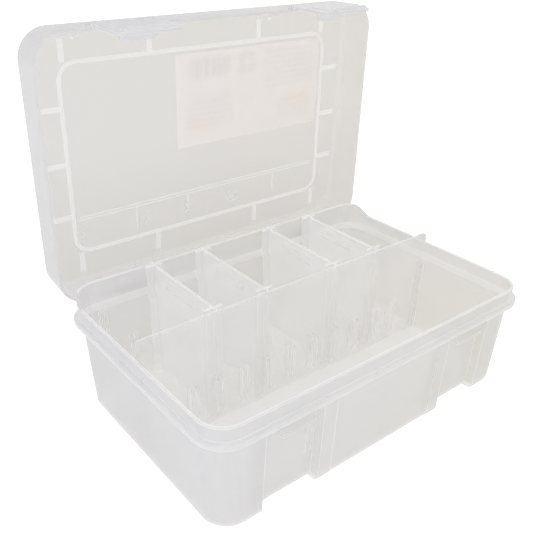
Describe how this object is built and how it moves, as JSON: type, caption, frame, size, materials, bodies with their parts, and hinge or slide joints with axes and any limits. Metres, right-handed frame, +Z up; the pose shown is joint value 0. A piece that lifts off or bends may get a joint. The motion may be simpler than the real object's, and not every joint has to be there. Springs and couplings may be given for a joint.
{
  "type": "tackle box",
  "caption": "Clear moulded tackle box with a hinged lid standing open, front latches, a lengthwise divider and removable cross dividers.",
  "frame": {"origin": "centre of the tub's footprint at table level, on the flat underside", "axes": "+X to the right along the long side seen from the front, +Y towards the hinge side, +Z up"},
  "size_m": [0.2762, 0.2104, 0.2583],
  "materials": {
    "tub_plastic": "natural milky translucent polypropylene, moulded, soft gloss",
    "lid_plastic": "natural milky translucent polypropylene, moulded, soft gloss",
    "latch_plastic": "natural milky translucent polypropylene, thicker, soft gloss",
    "divider_plastic": "natural milky translucent polypropylene sheet, satin",
    "pin_steel": "drawn steel wire",
    "label_paper": "thin cream paper sticker, matt"
  },
  "bodies": {
    "tub": {"base_tub": "tub_plastic", "hinge_pin_left": "pin_steel", "hinge_pin_right": "pin_steel"},
    "lid": {"lid": "lid_plastic", "paper_label": "label_paper"},
    "latch_left": {"latch_left": "latch_plastic"},
    "latch_right": {"latch_right": "latch_plastic"},
    "long_divider": {"long_divider": "divider_plastic"},
    "cross_divider_1": {"cross_divider_1": "divider_plastic"},
    "cross_divider_2": {"cross_divider_2": "divider_plastic"},
    "cross_divider_3": {"cross_divider_3": "divider_plastic"},
    "cross_divider_4": {"cross_divider_4": "divider_plastic"}
  },
  "joints": [
    {"name": "lid_hinge", "type": "hinge", "parent": "tub", "child": "lid", "pos_m": [0, 0.0912, 0.0715], "axis": [-1, 0, 0], "range_deg": [-88.7, 0]},
    {"name": "latch_left_hinge", "type": "hinge", "parent": "lid", "child": "latch_left", "pos_m": [-0.0783, 0.08955, 0.25421], "axis": [-1, 0, 0], "range_deg": [0, 100]},
    {"name": "latch_right_hinge", "type": "hinge", "parent": "lid", "child": "latch_right", "pos_m": [0.0783, 0.08955, 0.25421], "axis": [-1, 0, 0], "range_deg": [0, 100]},
    {"name": "long_divider_lift", "type": "slide", "parent": "tub", "child": "long_divider", "axis": [0, 0, 1], "range_m": [0, 0.1]},
    {"name": "cross_divider_1_lift", "type": "slide", "parent": "tub", "child": "cross_divider_1", "axis": [0, 0, 1], "range_m": [0, 0.1]},
    {"name": "cross_divider_2_lift", "type": "slide", "parent": "tub", "child": "cross_divider_2", "axis": [0, 0, 1], "range_m": [0, 0.1]},
    {"name": "cross_divider_3_lift", "type": "slide", "parent": "tub", "child": "cross_divider_3", "axis": [0, 0, 1], "range_m": [0, 0.1]},
    {"name": "cross_divider_4_lift", "type": "slide", "parent": "tub", "child": "cross_divider_4", "axis": [0, 0, 1], "range_m": [0, 0.1]}
  ]
}
